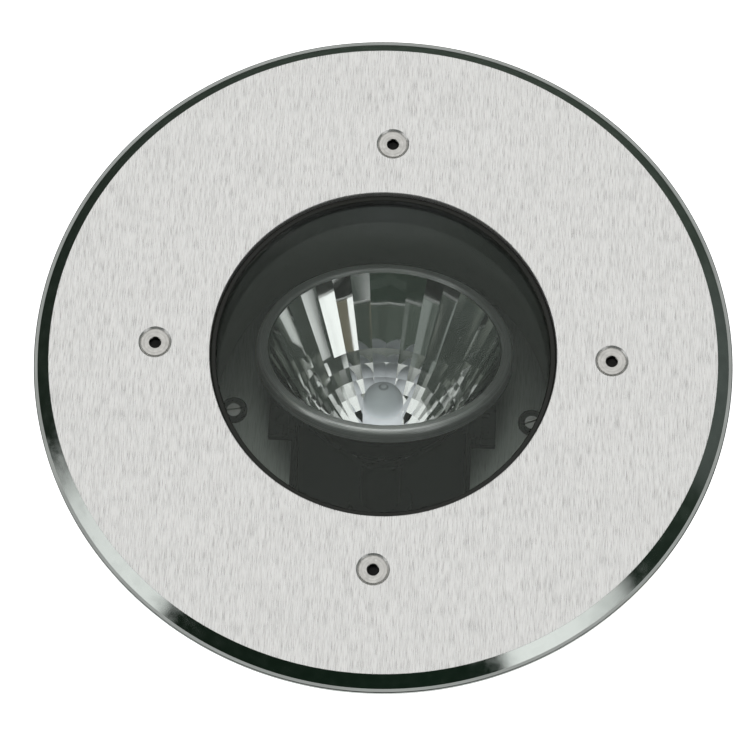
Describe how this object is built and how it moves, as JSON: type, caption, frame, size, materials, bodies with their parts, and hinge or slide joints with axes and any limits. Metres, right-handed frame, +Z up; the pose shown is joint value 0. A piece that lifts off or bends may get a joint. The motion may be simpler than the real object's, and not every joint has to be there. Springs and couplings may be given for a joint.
{
  "type": "in ground well light",
  "caption": "Round in-ground well light: bevelled brushed cover with four screws, thick pane, ribbed cast housing, and a faceted lamp head that tilts and pans inside a dark well.",
  "frame": {"origin": "centre of the underside of the housing, which stands on the bed of the hole", "axes": "+Z up out of the ground, along the axis of the cover; +X and +Y through cover screws; the lamp head leans towards +Y"},
  "size_m": [0.27, 0.27, 0.21],
  "materials": {
    "cover_steel": "straight brushed stainless face with a polished bevel",
    "flange_steel": "satin stainless",
    "screw_steel": "machined stainless",
    "zinc_steel": "zinc plated sheet and fasteners",
    "housing_paint": "textured black powder coat on cast aluminium",
    "well_paint": "matt dark coat",
    "tray_metal": "dark brushed sheet",
    "turned_aluminium": "turned aluminium",
    "mirror_aluminium": "bright faceted reflector",
    "silicone": "black silicone",
    "clear_glass": "clear tempered pane",
    "frosted_glass": "frosted lamp tube",
    "ceramic": "white ceramic",
    "brass": "brass",
    "nickel_brass": "nickel plated brass",
    "case_plastic": "light grey moulded plastic"
  },
  "bodies": {
    "housing_body": {"housing": "housing_paint", "housing_fins": "housing_paint", "housing_ring": "housing_paint", "flange_ring": "flange_steel", "flange_screws": "screw_steel", "cover_plate": "cover_steel", "cover_screws": "screw_steel", "screw_inserts": "brass", "glass_pane": "clear_glass", "glass_gasket": "silicone", "well_sleeve": "well_paint", "gear_tray": "zinc_steel", "gear_tray_screws": "zinc_steel", "ballast": "case_plastic", "ballast_screws": "zinc_steel", "terminal_block": "case_plastic", "terminal_screws": "zinc_steel", "earth_screw": "zinc_steel", "earth_washer": "zinc_steel", "gland_bodies": "nickel_brass", "gland_washers": "silicone", "gland_seals": "silicone", "gland_lock_nuts": "nickel_brass", "gland_dome_nuts": "nickel_brass"},
    "turntable": {"tray": "tray_metal", "turntable_ring": "turned_aluminium", "pan_clamp_ring": "turned_aluminium", "pivot_brackets": "zinc_steel", "pan_screws": "screw_steel", "pan_nuts": "zinc_steel"},
    "lamp_head": {"collar": "turned_aluminium", "reflector": "mirror_aluminium", "cradle": "zinc_steel", "pivot_bolts": "zinc_steel", "pivot_nuts": "zinc_steel", "friction_washers": "zinc_steel", "lamp_tube": "frosted_glass", "lamp_base": "ceramic", "lamp_pins": "zinc_steel", "arc_tube": "ceramic", "lamp_wires": "zinc_steel", "lampholder": "ceramic", "holder_contacts": "brass", "lampholder_screws": "zinc_steel", "lampholder_nuts": "zinc_steel"}
  },
  "joints": [
    {"name": "lamp_pan", "type": "hinge", "parent": "housing_body", "child": "turntable", "pos_m": [0, 0, 0.1286], "axis": [0, 0, 1], "range_deg": [-175, 175]},
    {"name": "lamp_tilt", "type": "hinge", "parent": "turntable", "child": "lamp_head", "pos_m": [0, 0, 0.1298], "axis": [-1, 0, 0], "range_deg": [-27, 3]}
  ]
}
